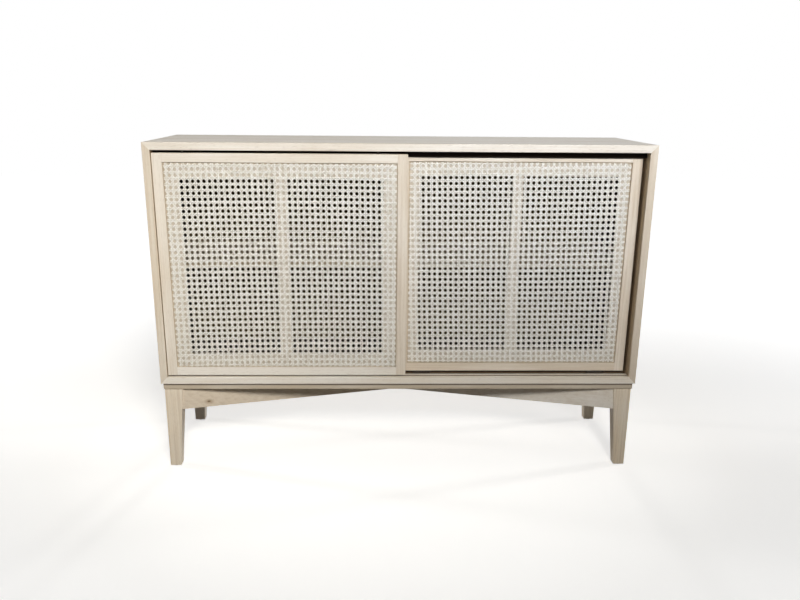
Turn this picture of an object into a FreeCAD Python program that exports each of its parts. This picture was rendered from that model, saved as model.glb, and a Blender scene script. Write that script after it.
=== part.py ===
import FreeCAD, Part
import math
import os

# Low cabinet on a tapered-leg base, with two cane-covered doors that slide past each other.
# Millimetres, +Z up, front faces -Y, origin on the floor under the middle of the cabinet.

# Case: four boards mitred into a ring, open in front, with a thin back panel in a rebate.
CASE_WIDTH = 1200.0
CASE_DEPTH = 380.0
CASE_HEIGHT = 586.0
BOARD = 18.0
EDGE_ROUND = 1.5
BACK_THICK = 6.0
BACK_LAP = 9.0
BACK_FIT = 0.3
BACK_RECESS = 1.5

# Inside: one upright divider in shallow housings and a shelf each side of it, on pins.
DIVIDER_THICK = 18.0
HOUSING_DEPTH = 5.0
SHELF_THICK = 16.0
SHELF_RISE = 267.0
SHELF_FIT = 1.0
SHELF_BACK_GAP = 0.5
INNER_SETBACK = 8.0
PIN_DIAMETER = 6.0
PIN_SINK = 8.0
PIN_REACH = 10.0
PIN_HOLE_FIT = 0.1
PIN_END_INSET = 40.0
PIN_STEP = 64.0
PIN_ROWS = 2

# Doors: an outer frame round a cane-covered inner frame with one mullion.
# The right door runs behind the left one on taller glides and has a wider stile where the two overlap.
LEFT_DOOR_WIDTH = 595.0
RIGHT_DOOR_WIDTH = 588.5
DOOR_THICK = 20.0
DOOR_SETBACK = 5.0
DOOR_PASSING_GAP = 6.0
LEFT_DOOR_SIDE_GAP = 1.5
LEFT_DOOR_TOP_GAP = 6.5
LEFT_DOOR_BOTTOM_GAP = 4.0
RIGHT_DOOR_SIDE_GAP = 7.5
RIGHT_DOOR_TOP_GAP = 3.0
RIGHT_DOOR_BOTTOM_GAP = 7.5
STILE_FACE = 24.0
MEETING_STILE_FACE = 33.0
RAIL_FACE = 21.0
TENON_LENGTH = 14.0
TENON_THICK = 7.0
TENON_SHOULDER = 4.0
TENON_FIT = 0.1
DOOR_EDGE_ROUND = 1.0

# Inner frame of a door, and the cane sheet over its front.
LEFT_PANEL_STILE = 32.0
RIGHT_PANEL_STILE = 25.0
PANEL_RAIL = 33.0
PANEL_FIT = 0.4
MULLION_WIDTH = 25.0
CANE_RECESS = 2.2
CANE_THICK = 2.0
CANE_EDGE_GAP = 1.6

# Open weave of the cane: eight-sided gaps, drawn coarser than the real mesh.
WEAVE_COLUMNS = 6
WEAVE_ROWS = 11
WEAVE_GAP = 18.0
WEAVE_MARGIN = 3.0

# What the doors run on: grooves in the boards, glides below and guide pins above.
GROOVE_WIDTH = 6.0
BOTTOM_GROOVE_DEPTH = 3.0
TOP_GROOVE_DEPTH = 3.5
GLIDE_WIDTH = 5.2
GLIDE_LENGTH = 46.0
GLIDE_SINK = 9.0
GLIDE_FLOOR_GAP = 0.2
GUIDE_DIAMETER = 5.0
GUIDE_SINK = 11.0
GUIDE_ROOF_GAP = 0.6
RUNNER_FIT = 0.1
RUNNER_INSET = 70.0

# Dark strip that hangs from the top board between the two doors.
STRIP_THICK = 3.0
STRIP_DROP = 13.5
STRIP_SEAT = 3.0
STRIP_FIT = 0.2

# Base: flat frame under the case, tapered legs, two braces that cross under the middle.
BASE_RAIL_THICK = 15.0
BASE_RAIL_WIDTH = 50.0
BASE_INSET = 5.0
LEG_LENGTH = 210.5
LEG_TOP = 45.0
LEG_FOOT = 28.0
LEG_SIDE_INSET = 1.0
LEG_FRONT_INSET = 5.0
LEG_EDGE_BEVEL = 1.4
BRACE_HEIGHT = 57.0
BRACE_THICK = 20.0
BRACE_FRONT_OFFSET = 15.3
LAP_FIT = 0.2
FOOT_GLIDE_DIAMETER = 20.0
FOOT_GLIDE_HEIGHT = 2.5
FOOT_GLIDE_BEVEL = 0.8

# Dowels: one into each leg from the base frame, one across each brace end.
LEG_DOWEL_DIAMETER = 16.0
LEG_DOWEL_IN_LEG = 25.0
LEG_DOWEL_IN_RAIL = 12.0
BRACE_DOWEL_DIAMETER = 8.0
BRACE_DOWEL_IN_LEG = 14.0
BRACE_DOWEL_IN_BRACE = 16.0
DOWEL_FIT = 0.1

# Heights and planes that follow from the sizes above.
LEG_BASE = FOOT_GLIDE_HEIGHT
LEG_CROWN = LEG_BASE + LEG_LENGTH
CASE_FLOOR = LEG_CROWN + BASE_RAIL_THICK
CASE_CROWN = CASE_FLOOR + CASE_HEIGHT
INNER_FLOOR = CASE_FLOOR + BOARD
INNER_ROOF = CASE_CROWN - BOARD
HALF_WIDTH = CASE_WIDTH / 2
INNER_HALF = HALF_WIDTH - BOARD
FRONT = -CASE_DEPTH / 2
REAR = CASE_DEPTH / 2
BACK_REAR = REAR - BACK_RECESS
BACK_FACE = BACK_REAR - BACK_THICK
LEFT_DOOR_FRONT = FRONT + DOOR_SETBACK
RIGHT_DOOR_FRONT = LEFT_DOOR_FRONT + DOOR_THICK + DOOR_PASSING_GAP
DOOR_ZONE_BACK = RIGHT_DOOR_FRONT + DOOR_THICK
INNER_FRONT = DOOR_ZONE_BACK + INNER_SETBACK
SHELF_BASE = INNER_FLOOR + SHELF_RISE
LEG_OUTER_X = HALF_WIDTH - BASE_INSET - LEG_SIDE_INSET
LEG_FRONT_Y = FRONT + BASE_INSET + LEG_FRONT_INSET

UP = FreeCAD.Vector(0, 0, 1)
BACKWARD = FreeCAD.Vector(0, 1, 0)
RIGHTWARD = FreeCAD.Vector(1, 0, 0)


def block(x0, x1, y0, y1, z0, z1):
    """Solid with square edges between two opposite corners."""
    return Part.makeBox(x1 - x0, y1 - y0, z1 - z0, FreeCAD.Vector(x0, y0, z0))


def rod(diameter, length, x, y, z, direction):
    """Round rod that starts at a point and runs along a direction."""
    return Part.makeCylinder(diameter / 2, length, FreeCAD.Vector(x, y, z), direction)


def rounded(solid, radius, wanted):
    """Round the straight edges that the test function picks."""
    edges = [edge for edge in solid.Edges if wanted(edge)]
    return solid.makeFillet(radius, edges)


def bevelled(solid, size, wanted):
    """Bevel the edges that the test function picks."""
    edges = [edge for edge in solid.Edges if wanted(edge)]
    return solid.makeChamfer(size, edges)


def runs_along(edge, direction):
    """True where an edge is parallel to a direction."""
    span = edge.Vertexes[-1].Point - edge.Vertexes[0].Point
    return abs(span.normalize().dot(direction)) > 0.999


def lies_at(edge, axis, value):
    """True where a whole edge has one coordinate at a value."""
    return all(abs(vertex.Point[axis] - value) < 1e-6 for vertex in edge.Vertexes)


def extruded(points, vector):
    """Solid pushed from a closed outline of straight sides."""
    outline = Part.makePolygon(points + [points[0]])
    return Part.Face(outline).extrude(vector)


def obround(width, length, height, x, y, z):
    """Upright block with half-round ends, long along X, standing on a point."""
    straight = length - width
    body = block(x - straight / 2, x + straight / 2, y - width / 2, y + width / 2, z, z + height)
    for end in (x - straight / 2, x + straight / 2):
        body = body.fuse(rod(width, height, end, y, z, UP))
    return body.removeSplitter()


def mirrored_x(solid):
    """The same solid on the other side of the middle."""
    return solid.mirror(FreeCAD.Vector(0, 0, 0), RIGHTWARD)


def mirrored_y(solid):
    """The same solid at the other of front and rear."""
    return solid.mirror(FreeCAD.Vector(0, 0, 0), BACKWARD)


def case_ring():
    """The four case boards as one ring with softened edges, before it is cut at the mitres."""
    outer = block(-HALF_WIDTH, HALF_WIDTH, FRONT, REAR, CASE_FLOOR, CASE_CROWN)
    inner = block(-INNER_HALF, INNER_HALF, FRONT, REAR, INNER_FLOOR, INNER_ROOF)
    ring = outer.cut(inner)

    def softened(edge):
        on_front = lies_at(edge, 1, FRONT)
        on_outer_corner = lies_at(edge, 0, HALF_WIDTH) or lies_at(edge, 0, -HALF_WIDTH)
        return on_front or (on_outer_corner and runs_along(edge, BACKWARD))

    ring = rounded(ring, EDGE_ROUND, softened)
    rebate = block(
        -INNER_HALF - BACK_LAP, INNER_HALF + BACK_LAP, BACK_FACE, REAR,
        INNER_FLOOR - BACK_LAP, INNER_ROOF + BACK_LAP,
    )
    return ring.cut(rebate)


def mitre_sector(corner_a, corner_b, inner_b, inner_a):
    """Wedge of space that one board of the ring fills, between two mitre lines."""
    points = [FreeCAD.Vector(x, FRONT, z) for x, z in (corner_a, corner_b, inner_b, inner_a)]
    return extruded(points, FreeCAD.Vector(0, CASE_DEPTH, 0))


def door_groove(door_front, floor, depth):
    """Straight groove that a door's runners slide in, between the two case sides."""
    middle = door_front + DOOR_THICK / 2
    return block(
        -INNER_HALF, INNER_HALF, middle - GROOVE_WIDTH / 2, middle + GROOVE_WIDTH / 2,
        floor, floor + depth,
    )


def divider_housing(floor):
    """Shallow housing across a board that takes one end of the divider."""
    return block(
        -DIVIDER_THICK / 2, DIVIDER_THICK / 2, INNER_FRONT, BACK_FACE, floor, floor + HOUSING_DEPTH,
    )


def pin_places():
    """Depths along a shelf where its pins stand."""
    return (INNER_FRONT + PIN_END_INSET, BACK_FACE - PIN_END_INSET)


def pin_heights():
    """Heights of the rows of pin holes; the top row carries the shelf, the next leaves room for records."""
    top_row = SHELF_BASE - PIN_DIAMETER / 2
    return [top_row - row * PIN_STEP for row in range(PIN_ROWS)]


def pin_holes(face_x, direction):
    """Blind holes for shelf pins, bored into a face from its surface."""
    holes = [
        rod(PIN_DIAMETER + 2 * PIN_HOLE_FIT, PIN_SINK, face_x, y, z, direction)
        for y in pin_places()
        for z in pin_heights()
    ]
    return Part.makeCompound(holes)


def case_boards():
    """Top, bottom and sides cut from the ring, with their grooves, housings and pin holes."""
    ring = case_ring()
    left, right = -HALF_WIDTH, HALF_WIDTH
    reach = BOARD
    outer = {
        "tl": (left, CASE_CROWN), "tr": (right, CASE_CROWN),
        "bl": (left, CASE_FLOOR), "br": (right, CASE_FLOOR),
    }
    inner = {
        "tl": (left + reach, CASE_CROWN - reach), "tr": (right - reach, CASE_CROWN - reach),
        "bl": (left + reach, CASE_FLOOR + reach), "br": (right - reach, CASE_FLOOR + reach),
    }

    def board(a, b):
        return ring.common(mitre_sector(outer[a], outer[b], inner[b], inner[a]))

    top = board("tl", "tr")
    bottom = board("bl", "br")
    left_side = board("tl", "bl")
    right_side = board("tr", "br")

    for door_front in (LEFT_DOOR_FRONT, RIGHT_DOOR_FRONT):
        top = top.cut(door_groove(door_front, INNER_ROOF, TOP_GROOVE_DEPTH))
        bottom = bottom.cut(door_groove(door_front, INNER_FLOOR - BOTTOM_GROOVE_DEPTH, BOTTOM_GROOVE_DEPTH))
    top = top.cut(divider_housing(INNER_ROOF))
    bottom = bottom.cut(divider_housing(INNER_FLOOR - HOUSING_DEPTH))
    strip_y = strip_front()
    top = top.cut(block(
        -INNER_HALF, INNER_HALF, strip_y - STRIP_FIT, strip_y + STRIP_THICK + STRIP_FIT,
        INNER_ROOF, INNER_ROOF + STRIP_SEAT,
    ))
    left_side = left_side.cut(pin_holes(-INNER_HALF, -RIGHTWARD))
    right_side = right_side.cut(pin_holes(INNER_HALF, RIGHTWARD))
    return {"top_panel": top, "bottom_panel": bottom, "left_side": left_side, "right_side": right_side}


def strip_front():
    """Front face of the dark strip, in the middle of the gap between the doors."""
    return LEFT_DOOR_FRONT + DOOR_THICK + (DOOR_PASSING_GAP - STRIP_THICK) / 2


def parting_strip():
    """Dark strip, seated in the top board and hanging between the doors."""
    return block(
        -INNER_HALF, INNER_HALF, strip_front(), strip_front() + STRIP_THICK,
        INNER_ROOF - STRIP_DROP, INNER_ROOF + STRIP_SEAT,
    )


def back_panel():
    """Thin board that lies in the rebate round the back of the case, a little inside its rear edge."""
    reach = BACK_LAP - BACK_FIT
    return block(
        -INNER_HALF - reach, INNER_HALF + reach, BACK_FACE, BACK_REAR,
        INNER_FLOOR - reach, INNER_ROOF + reach,
    )


def centre_divider():
    """Upright board between the two halves of the cabinet, with pin holes on both faces."""
    half = DIVIDER_THICK / 2
    board = block(
        -half, half, INNER_FRONT, BACK_FACE, INNER_FLOOR - HOUSING_DEPTH, INNER_ROOF + HOUSING_DEPTH,
    )
    board = board.cut(pin_holes(half, -RIGHTWARD))
    return board.cut(pin_holes(-half, RIGHTWARD))


def right_shelf():
    """Loose shelf between the divider and the right side, lying on four pins."""
    shelf = block(
        DIVIDER_THICK / 2 + SHELF_FIT, INNER_HALF - SHELF_FIT,
        INNER_FRONT, BACK_FACE - SHELF_BACK_GAP, SHELF_BASE, SHELF_BASE + SHELF_THICK,
    )
    return rounded(shelf, EDGE_ROUND, lambda edge: lies_at(edge, 1, INNER_FRONT) and runs_along(edge, RIGHTWARD))


def shelf_pins():
    """Eight pins under the shelves, each partly sunk in a side or in the divider."""
    z = SHELF_BASE - PIN_DIAMETER / 2
    length = PIN_SINK + PIN_REACH
    right_pins = []
    for y in pin_places():
        right_pins.append(rod(PIN_DIAMETER, length, INNER_HALF - PIN_REACH, y, z, RIGHTWARD))
        right_pins.append(rod(PIN_DIAMETER, length, DIVIDER_THICK / 2 - PIN_SINK, y, z, RIGHTWARD))
    return Part.makeCompound(right_pins + [mirrored_x(pin) for pin in right_pins])


def door_parts(limits, left_face, panel_stile, front):
    """All pieces of one door by short name: outer frame, cane-covered inner frame and runners."""
    left_x, right_x, floor, roof = limits
    back = front + DOOR_THICK
    pieces = outer_frame(limits, left_face, front, back)
    box = panel_box(limits, left_face)
    fields = open_fields(box, (left_x + right_x) / 2, panel_stile)
    heights = (box[2] + PANEL_RAIL, box[3] - PANEL_RAIL)
    pieces.update(inner_frame(box, fields, heights, front, back))
    pieces["cane"] = cane_sheet(box, fields, heights, front)
    places = (left_x + RUNNER_INSET, right_x - RUNNER_INSET)
    pieces["glides"] = Part.makeCompound(door_glides(places, floor, front, 0.0))
    pieces["guides"] = Part.makeCompound(door_guides(places, roof, front, 0.0))
    glide_seats = Part.makeCompound(door_glides(places, floor, front, RUNNER_FIT))
    guide_seats = Part.makeCompound(door_guides(places, roof, front, RUNNER_FIT))
    pieces["bottom_rail"] = pieces["bottom_rail"].cut(glide_seats)
    pieces["top_rail"] = pieces["top_rail"].cut(guide_seats)
    return pieces


def outer_frame(limits, left_face, front, back):
    """Two full-height stiles and two rails with stub tenons, cut from one softened slab."""
    left_x, right_x, floor, roof = limits
    slab = block(left_x, right_x, front, back, floor, roof)
    hole_left = left_x + left_face
    hole_right = right_x - STILE_FACE
    bottom_span, top_span = (floor, floor + RAIL_FACE), (roof - RAIL_FACE, roof)
    hole = block(hole_left, hole_right, front, back, floor + RAIL_FACE, roof - RAIL_FACE)
    ring = slab.cut(hole)
    ring = rounded(ring, DOOR_EDGE_ROUND, lambda edge: lies_at(edge, 1, front))
    tenon_y = (front + back - TENON_THICK) / 2

    def stile(x0, x1, mortise_x):
        piece = ring.common(block(x0, x1, front, back, floor, roof))
        for low, high in (bottom_span, top_span):
            piece = piece.cut(block(
                mortise_x, mortise_x + TENON_LENGTH + TENON_FIT,
                tenon_y - TENON_FIT, tenon_y + TENON_THICK + TENON_FIT,
                low + TENON_SHOULDER - TENON_FIT, high - TENON_SHOULDER + TENON_FIT,
            ))
        return piece

    def rail(low, high):
        piece = ring.common(block(hole_left, hole_right, front, back, low, high))
        tongue = block(
            hole_left - TENON_LENGTH, hole_right + TENON_LENGTH,
            tenon_y, tenon_y + TENON_THICK, low + TENON_SHOULDER, high - TENON_SHOULDER,
        )
        return piece.fuse(tongue).removeSplitter()

    return {
        "left_stile": stile(left_x, hole_left, hole_left - TENON_LENGTH - TENON_FIT),
        "right_stile": stile(hole_right, right_x, hole_right),
        "bottom_rail": rail(*bottom_span),
        "top_rail": rail(*top_span),
    }


def panel_box(limits, left_face):
    """Outer limits of the inner frame of a door, in X and in Z."""
    left_x, right_x, floor, roof = limits
    x0 = left_x + left_face + PANEL_FIT
    x1 = right_x - STILE_FACE - PANEL_FIT
    return x0, x1, floor + RAIL_FACE + PANEL_FIT, roof - RAIL_FACE - PANEL_FIT


def open_fields(box, middle, panel_stile):
    """Left and right side of each of the two openings, either side of a mullion in the middle of the door."""
    return (
        (box[0] + panel_stile, middle - MULLION_WIDTH / 2),
        (middle + MULLION_WIDTH / 2, box[1] - panel_stile),
    )


def inner_frame(box, fields, heights, front, back):
    """The frame that the cane is stretched over: four members and a centre mullion."""
    x0, x1, z0, z1 = box
    face = front + CANE_RECESS + CANE_THICK
    (first_left, first_right), (second_left, second_right) = fields
    inside, below_top = heights
    return {
        "panel_left_stile": block(x0, first_left, face, back, z0, z1),
        "panel_right_stile": block(second_right, x1, face, back, z0, z1),
        "panel_bottom_rail": block(first_left, second_right, face, back, z0, inside),
        "panel_top_rail": block(first_left, second_right, face, back, below_top, z1),
        "panel_mullion": block(first_right, second_left, face, back, inside, below_top),
    }


def weave_gap(x, y, z):
    """Outline of one eight-sided gap in the cane, round a centre."""
    turns = [math.radians(22.5 + 45 * corner) for corner in range(8)]
    radius = WEAVE_GAP / 2 / math.cos(math.radians(22.5))
    points = [FreeCAD.Vector(x + radius * math.cos(turn), y, z + radius * math.sin(turn)) for turn in turns]
    return Part.makePolygon(points + [points[0]])


def cane_sheet(box, fields, heights, front):
    """Cane sheet as one holed face with thickness: closed over wood, open over the two fields."""
    x0, x1, z0, z1 = box
    y = front + CANE_RECESS
    corners = [
        FreeCAD.Vector(x, y, z)
        for x, z in (
            (x0 + CANE_EDGE_GAP, z0 + CANE_EDGE_GAP), (x1 - CANE_EDGE_GAP, z0 + CANE_EDGE_GAP),
            (x1 - CANE_EDGE_GAP, z1 - CANE_EDGE_GAP), (x0 + CANE_EDGE_GAP, z1 - CANE_EDGE_GAP),
        )
    ]
    low = heights[0] + WEAVE_MARGIN
    high = heights[1] - WEAVE_MARGIN
    row_step = (high - low) / WEAVE_ROWS
    gaps = []
    for field_left, field_right in fields:
        column_step = (field_right - field_left - 2 * WEAVE_MARGIN) / WEAVE_COLUMNS
        for column in range(WEAVE_COLUMNS):
            for row in range(WEAVE_ROWS):
                gap_x = field_left + WEAVE_MARGIN + (column + 0.5) * column_step
                gaps.append(weave_gap(gap_x, y, low + (row + 0.5) * row_step))
    sheet = Part.Face([Part.makePolygon(corners + [corners[0]])] + gaps)
    return sheet.extrude(FreeCAD.Vector(0, CANE_THICK, 0))


def door_glides(places, floor, front, spare):
    """Nylon glides let into the bottom rail; with spare room, the seats that take them."""
    foot = INNER_FLOOR - BOTTOM_GROOVE_DEPTH + GLIDE_FLOOR_GAP
    height = floor + GLIDE_SINK - foot
    middle = front + DOOR_THICK / 2
    return [
        obround(GLIDE_WIDTH + 2 * spare, GLIDE_LENGTH + 2 * spare, height + spare, x, middle, foot)
        for x in places
    ]


def door_guides(places, roof, front, spare):
    """Guide pins let into the top rail; with spare room, the holes that take them."""
    crown = INNER_ROOF + TOP_GROOVE_DEPTH - GUIDE_ROOF_GAP
    foot = roof - GUIDE_SINK - spare
    middle = front + DOOR_THICK / 2
    return [
        rod(GUIDE_DIAMETER + 2 * spare, crown - foot, x, middle, foot, UP)
        for x in places
    ]


def base_rails():
    """Flat frame under the case: long rails in front and behind, short rails between them."""
    half_x = HALF_WIDTH - BASE_INSET
    front_y = FRONT + BASE_INSET
    inner_y = front_y + BASE_RAIL_WIDTH
    front = block(-half_x, half_x, front_y, inner_y, LEG_CROWN, CASE_FLOOR)
    front = rounded(front, EDGE_ROUND, lambda edge: lies_at(edge, 1, front_y))
    left = block(-half_x, -half_x + BASE_RAIL_WIDTH, inner_y, -inner_y, LEG_CROWN, CASE_FLOOR)
    seats = leg_dowel_rods(DOWEL_FIT)
    front = front.cut(seats)
    return {
        "front_base_rail": front, "rear_base_rail": mirrored_y(front),
        "left_base_rail": left, "right_base_rail": mirrored_x(left),
    }


def leg_inner_x(level):
    """How far out the tapered inner face of a right-hand leg is at a level."""
    share = (level - LEG_BASE) / LEG_LENGTH
    return LEG_OUTER_X - LEG_FOOT - share * (LEG_TOP - LEG_FOOT)


def front_left_leg():
    """Leg with upright outer faces and tapered inner faces, bored for its dowels."""
    def tapered(across, along, outer, sideways):
        profile = ((0, LEG_BASE), (LEG_FOOT, LEG_BASE), (LEG_TOP, LEG_CROWN), (0, LEG_CROWN))
        points = [outer + across * reach + UP * level for reach, level in profile]
        return extruded(points, along * sideways)

    corner = FreeCAD.Vector(-LEG_OUTER_X, LEG_FRONT_Y, 0)
    leg = tapered(RIGHTWARD, BACKWARD, corner, LEG_TOP)
    leg = leg.common(tapered(BACKWARD, RIGHTWARD, corner, LEG_TOP))
    leg = bevelled(leg, LEG_EDGE_BEVEL, runs_lengthwise)
    leg = leg.cut(leg_dowel_rods(DOWEL_FIT))
    return leg.cut(brace_dowel_rods(DOWEL_FIT))


def runs_lengthwise(edge):
    """True for the four long corners of a leg."""
    return abs(edge.Vertexes[-1].Point.z - edge.Vertexes[0].Point.z) > LEG_LENGTH / 2


def leg_dowel_rods(spare):
    """Upright dowels of the two front legs; with spare room, the holes that take them."""
    middle_x = -LEG_OUTER_X + LEG_TOP / 2
    middle_y = LEG_FRONT_Y + LEG_TOP / 2
    foot = LEG_CROWN - LEG_DOWEL_IN_LEG - spare
    length = LEG_DOWEL_IN_LEG + LEG_DOWEL_IN_RAIL + 2 * spare
    near = rod(LEG_DOWEL_DIAMETER + 2 * spare, length, middle_x, middle_y, foot, UP)
    return Part.makeCompound([near, mirrored_x(near)])


def brace_slope():
    """Plan angle of a brace, from the middle of the cabinet to the inner face of a leg."""
    return math.atan2(LEG_FRONT_Y + BRACE_FRONT_OFFSET, -leg_inner_x(LEG_CROWN))


def brace_dowel_rods(spare):
    """Level dowels between a brace and the front legs; with spare room, their holes."""
    level = LEG_CROWN - BRACE_HEIGHT / 2
    face = -leg_inner_x(level)
    start = face - BRACE_DOWEL_IN_LEG - spare
    length = BRACE_DOWEL_IN_LEG + BRACE_DOWEL_IN_BRACE + 2 * spare
    y = face * math.tan(brace_slope())
    near = rod(BRACE_DOWEL_DIAMETER + 2 * spare, length, start, y, level, RIGHTWARD)
    return Part.makeCompound([near, mirrored_x(near)])


def brace_blank(thick, floor, crown):
    """Straight bar on edge from the front left corner to the rear right one, over-long."""
    bar = block(-CASE_WIDTH, CASE_WIDTH, -thick / 2, thick / 2, floor, crown)
    bar.rotate(FreeCAD.Vector(0, 0, 0), UP, math.degrees(brace_slope()) - 180)
    return bar


def brace_limits():
    """Space between the inner faces of the left and right legs, which the braces fill end to end."""
    floor, crown = LEG_CROWN - BRACE_HEIGHT, LEG_CROWN
    points = [
        FreeCAD.Vector(x, -CASE_DEPTH, z)
        for x, z in (
            (-leg_inner_x(floor), floor), (leg_inner_x(floor), floor),
            (leg_inner_x(crown), crown), (-leg_inner_x(crown), crown),
        )
    ]
    return extruded(points, FreeCAD.Vector(0, 2 * CASE_DEPTH, 0))


def braces():
    """Two bars on edge that cross under the middle in a half lap and end on the legs."""
    floor, crown = LEG_CROWN - BRACE_HEIGHT, LEG_CROWN
    half = floor + BRACE_HEIGHT / 2
    limits = brace_limits()
    dowel_holes = brace_dowel_rods(DOWEL_FIT)
    dowel_holes = Part.makeCompound([dowel_holes, mirrored_y(dowel_holes)])
    bar = brace_blank(BRACE_THICK, floor, crown).common(limits).cut(dowel_holes)
    upper_notch = brace_blank(BRACE_THICK + 2 * LAP_FIT, half - LAP_FIT / 2, crown)
    lower_notch = brace_blank(BRACE_THICK + 2 * LAP_FIT, floor, half + LAP_FIT / 2)
    return {
        "left_front_brace": bar.cut(mirrored_x(upper_notch)),
        "right_front_brace": mirrored_x(bar).cut(lower_notch),
    }


def front_left_foot_glide():
    """Round plastic glide under a foot."""
    x = -LEG_OUTER_X + LEG_FOOT / 2
    y = LEG_FRONT_Y + LEG_FOOT / 2
    disc = rod(FOOT_GLIDE_DIAMETER, FOOT_GLIDE_HEIGHT, x, y, 0, UP)
    return bevelled(disc, FOOT_GLIDE_BEVEL, lambda edge: lies_at(edge, 2, 0.0))


def four_corners(solid):
    """A piece at the front left, repeated at the other three corners."""
    front = [solid, mirrored_x(solid)]
    return front + [mirrored_y(piece) for piece in front]


def all_nodes():
    """Every piece of the cabinet by name."""
    nodes = case_boards()
    nodes["back_panel"] = back_panel()
    nodes["centre_divider"] = centre_divider()
    nodes["right_shelf"] = right_shelf()
    nodes["left_shelf"] = mirrored_x(nodes["right_shelf"])
    nodes["shelf_pins"] = shelf_pins()
    nodes["parting_strip"] = parting_strip()

    left_x = -INNER_HALF + LEFT_DOOR_SIDE_GAP
    right_x = INNER_HALF - RIGHT_DOOR_SIDE_GAP
    left_limits = (
        left_x, left_x + LEFT_DOOR_WIDTH,
        INNER_FLOOR + LEFT_DOOR_BOTTOM_GAP, INNER_ROOF - LEFT_DOOR_TOP_GAP,
    )
    right_limits = (
        right_x - RIGHT_DOOR_WIDTH, right_x,
        INNER_FLOOR + RIGHT_DOOR_BOTTOM_GAP, INNER_ROOF - RIGHT_DOOR_TOP_GAP,
    )
    left_door = door_parts(left_limits, STILE_FACE, LEFT_PANEL_STILE, LEFT_DOOR_FRONT)
    right_door = door_parts(right_limits, MEETING_STILE_FACE, RIGHT_PANEL_STILE, RIGHT_DOOR_FRONT)
    for side, pieces in (("left_door_", left_door), ("right_door_", right_door)):
        for name, solid in pieces.items():
            nodes[side + name] = solid

    nodes.update(base_rails())
    leg_names = ("front_left_leg", "front_right_leg", "rear_left_leg", "rear_right_leg")
    for name, solid in zip(leg_names, four_corners(front_left_leg())):
        nodes[name] = solid
    nodes.update(braces())
    nodes["foot_glides"] = Part.makeCompound(four_corners(front_left_foot_glide()))
    for name, dowels in (("leg_dowels", leg_dowel_rods(0.0)), ("brace_dowels", brace_dowel_rods(0.0))):
        nodes[name] = Part.makeCompound([dowels, mirrored_y(dowels)])
    return nodes


os.makedirs("parts", exist_ok=True)
for node_name, node_shape in all_nodes().items():
    node_shape.exportStep("parts/" + node_name + ".step")
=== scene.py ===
import bpy
import math
import numpy as np
from mathutils import Matrix, Vector
from mathutils.geometry import tessellate_polygon


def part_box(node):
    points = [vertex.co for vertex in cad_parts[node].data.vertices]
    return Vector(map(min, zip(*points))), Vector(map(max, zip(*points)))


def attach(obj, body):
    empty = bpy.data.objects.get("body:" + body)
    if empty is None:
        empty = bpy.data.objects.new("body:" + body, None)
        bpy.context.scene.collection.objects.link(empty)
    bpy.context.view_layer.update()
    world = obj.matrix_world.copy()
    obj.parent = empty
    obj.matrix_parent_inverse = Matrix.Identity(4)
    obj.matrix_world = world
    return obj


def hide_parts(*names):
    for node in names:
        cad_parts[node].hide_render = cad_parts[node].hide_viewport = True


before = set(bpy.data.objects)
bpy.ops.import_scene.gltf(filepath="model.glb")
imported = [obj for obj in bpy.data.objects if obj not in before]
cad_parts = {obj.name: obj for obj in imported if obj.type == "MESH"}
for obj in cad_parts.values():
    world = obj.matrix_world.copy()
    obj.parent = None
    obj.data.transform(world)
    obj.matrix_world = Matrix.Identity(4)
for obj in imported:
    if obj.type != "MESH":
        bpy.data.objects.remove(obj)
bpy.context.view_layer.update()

# Legs: four posts of pale solid hardwood, upright outside and tapered inside, sanded, limed and sealed dull.
# Liming leaves a thin whitish wash over the beige wood, so rings and streaks show through it at low contrast.
# Each leg stands on end grain and is dowelled and glued up into the base frame.
MM = 0.001
LIMED_PALE = "f3ece2"
LIMED_BODY = "dfd1be"
LIMED_LATE = "c4b098"
LIMED_PORE = "a08c74"
LIMED_WARM = "f0dfc6"
RING_SPACING = 6.5 * MM
RING_WANDER = 7.0 * MM
RING_WANDER_LENGTH = 420 * MM
RING_WANDER_WIDTH = 55 * MM
STREAK_WIDTH = 5.0 * MM
STREAK_LENGTH = 190 * MM
PORE_WIDTH = 0.9 * MM
PORE_LENGTH = 14 * MM
WASH_PATCH = 70 * MM
EDGE_WEAR = 2.2 * MM
LIMED_ROUGHNESS = (0.50, 0.66)
PORE_DEPTH = 0.12 * MM
PITH_REACH = (46 * MM, 88 * MM)
RING_PEAK, RING_END = 0.82, 0.99
LATE_STRENGTH = 0.75
WASH_SPREAD = 0.28
STREAK_LOSS = -0.30
PORE_STRENGTH = 0.32
PORE_LEVELS = (0.60, 0.72)
STREAK_LEVELS = (0.34, 0.70)
WEAR_STRENGTH = 0.45
STAVE_TONE = 0.10
NOISE_LOW, NOISE_HIGH = 0.3, 0.7
# Each piece is cut from another place of the wood: steps in metres and radians from one number to the next.
PIECE_STEP = (0.713, 0.291, 0.437)
PIECE_TURN = 2.4
PITH_STEP = 0.618
STAVE_STEP = (3.0, 0.5, 0.5)


def linear(hex_colour):
    """Linear RGBA of an sRGB hex colour."""
    parts = [int(hex_colour[i:i + 2], 16) / 255 for i in (0, 2, 4)]
    return [c / 12.92 if c <= 0.04045 else ((c + 0.055) / 1.055) ** 2.4 for c in parts] + [1.0]


def add(tree, kind, inputs=None, out=0, **settings):
    """Add a node, set its properties, fill its inputs with values or links, and give one of its outputs.

    Inputs go by name or number. Mix takes its share in 0 and its colours in 6 and 7. Map Range takes the value
    in 0, where it runs from and to in 1 and 2, and what it gives in 3 and 4.
    """
    node = tree.nodes.new("ShaderNode" + kind)
    for name, value in settings.items():
        setattr(node, name, value)
    for key, value in (inputs or {}).items():
        if isinstance(value, bpy.types.NodeSocket):
            tree.links.new(value, node.inputs[key])
        else:
            node.inputs[key].default_value = value
    return node.outputs[out] if node.outputs else None


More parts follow.
